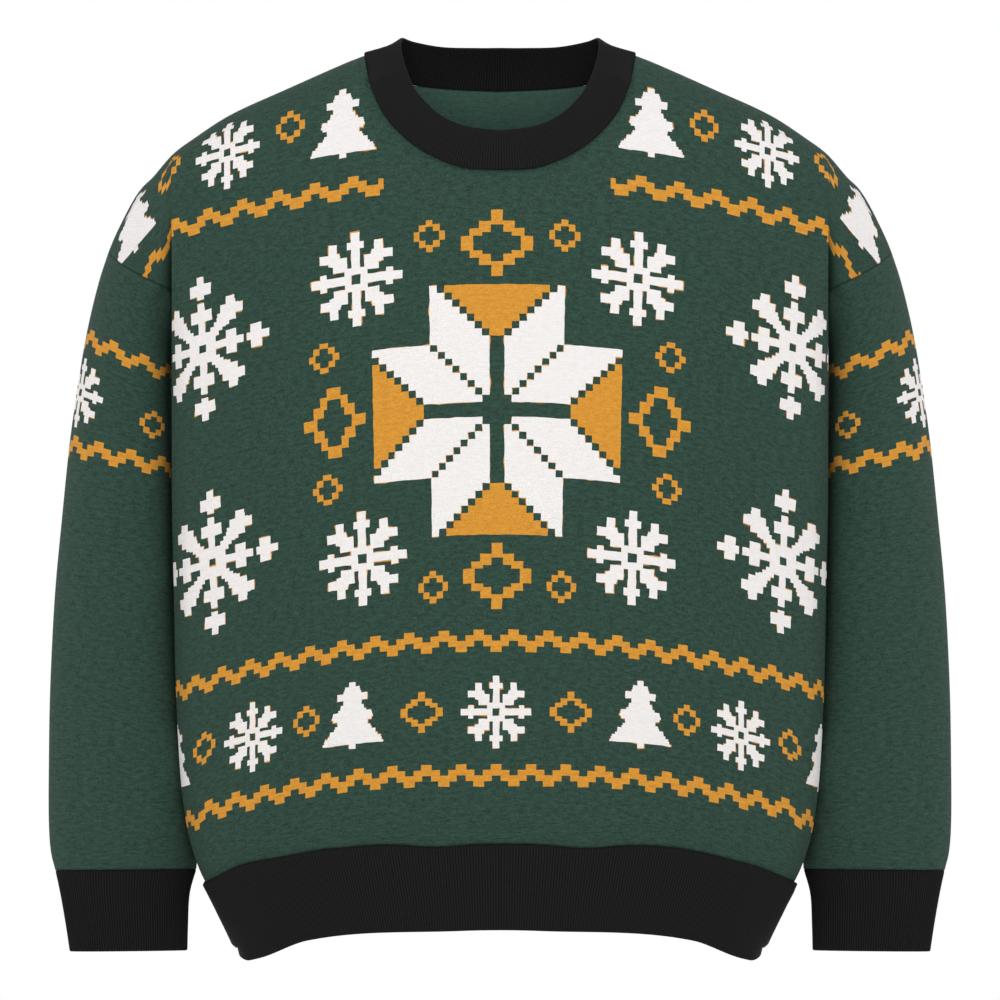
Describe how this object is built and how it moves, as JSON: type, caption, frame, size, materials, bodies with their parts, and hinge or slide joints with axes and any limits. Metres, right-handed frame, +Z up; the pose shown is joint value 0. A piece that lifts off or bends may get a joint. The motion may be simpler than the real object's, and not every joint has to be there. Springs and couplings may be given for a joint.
{
  "type": "christmas sweater",
  "caption": "Long-sleeved knitted crew-neck sweater with drop shoulders, banded motifs and ribbed neck, cuffs and hem, in its worn form with no wearer.",
  "frame": {"origin": "on the middle line, level with the two points where the shoulder seams meet the collar, where a wearer's shoulders hold it", "axes": "+Z up, -Y out of the garment's front, +X to the wearer's left"},
  "size_m": [0.686, 0.206, 0.7009],
  "materials": {
    "green_knit": "fine jersey knit, melange yarn",
    "black_rib": "fine rib knit",
    "gold_yarn": "fine jersey knit in gold yarn",
    "white_yarn": "fine jersey knit in white yarn"
  },
  "bodies": {
    "root": {"front_panel": "green_knit", "back_panel": "green_knit", "sleeve_left": "green_knit", "sleeve_right": "green_knit", "neck_rib": "black_rib", "cuff_left": "black_rib", "cuff_right": "black_rib", "hem_rib": "black_rib"}
  },
  "joints": []
}
